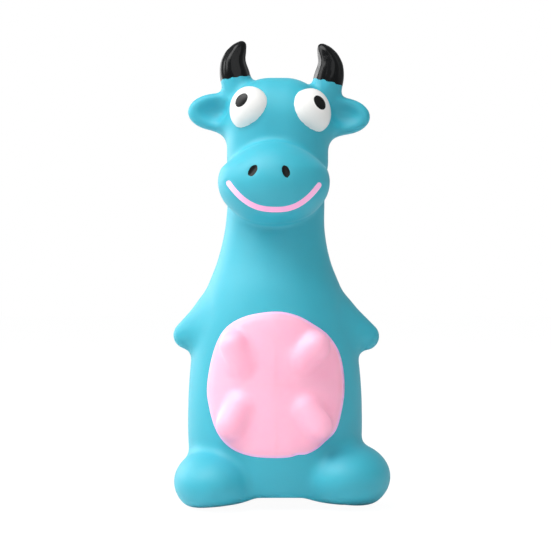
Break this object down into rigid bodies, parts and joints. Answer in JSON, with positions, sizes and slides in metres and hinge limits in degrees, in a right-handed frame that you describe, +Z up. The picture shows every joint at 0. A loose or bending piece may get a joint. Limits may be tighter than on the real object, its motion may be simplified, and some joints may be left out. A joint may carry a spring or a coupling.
{
  "type": "squeaky dog toy",
  "caption": "Hollow latex squeaky dog toy, an upright cow with a soft udder panel that presses in, coloured coats, a soft filling and a reed squeaker in its base.",
  "frame": {"origin": "middle of the outer box, on the floor under the soles", "axes": "+Z up, -Y towards the front of the cow, +X to the right as seen from the front"},
  "size_m": [0.0826, 0.0662, 0.1778],
  "materials": {
    "blue_latex": "satin",
    "pink_latex": "satin",
    "horn_coat": "gloss",
    "eye_white": "satin",
    "black_coat": "satin",
    "smile_coat": "satin",
    "squeaker_plastic": "satin",
    "reed_metal": "satin",
    "fluff": "matte"
  },
  "bodies": {
    "toy": {"latex_skin": "blue_latex", "left_horn_coat": "horn_coat", "right_horn_coat": "horn_coat", "left_eye_white": "eye_white", "left_pupil": "black_coat", "right_eye_white": "eye_white", "right_pupil": "black_coat", "left_nostril": "black_coat", "right_nostril": "black_coat", "smile_line": "smile_coat", "squeaker_housing": "squeaker_plastic", "reed_plate": "squeaker_plastic", "reed_clamp": "squeaker_plastic", "squeaker_cap": "squeaker_plastic", "soft_filling": "fluff"},
    "belly": {"udder_panel": "pink_latex"},
    "reed": {"reed_tongue": "reed_metal"}
  },
  "joints": [
    {"name": "belly_press", "type": "slide", "parent": "toy", "child": "belly", "axis": [0, 1, 0], "range_m": [0, 0.008], "stiffness_N_per_m": 400},
    {"name": "reed_flutter", "type": "hinge", "parent": "toy", "child": "reed", "pos_m": [-0.00185, 0.01082, 0.01172], "axis": [-1, 0, 0], "range_deg": [-1.5, 8], "stiffness_Nm_per_rad": 0.0001}
  ]
}
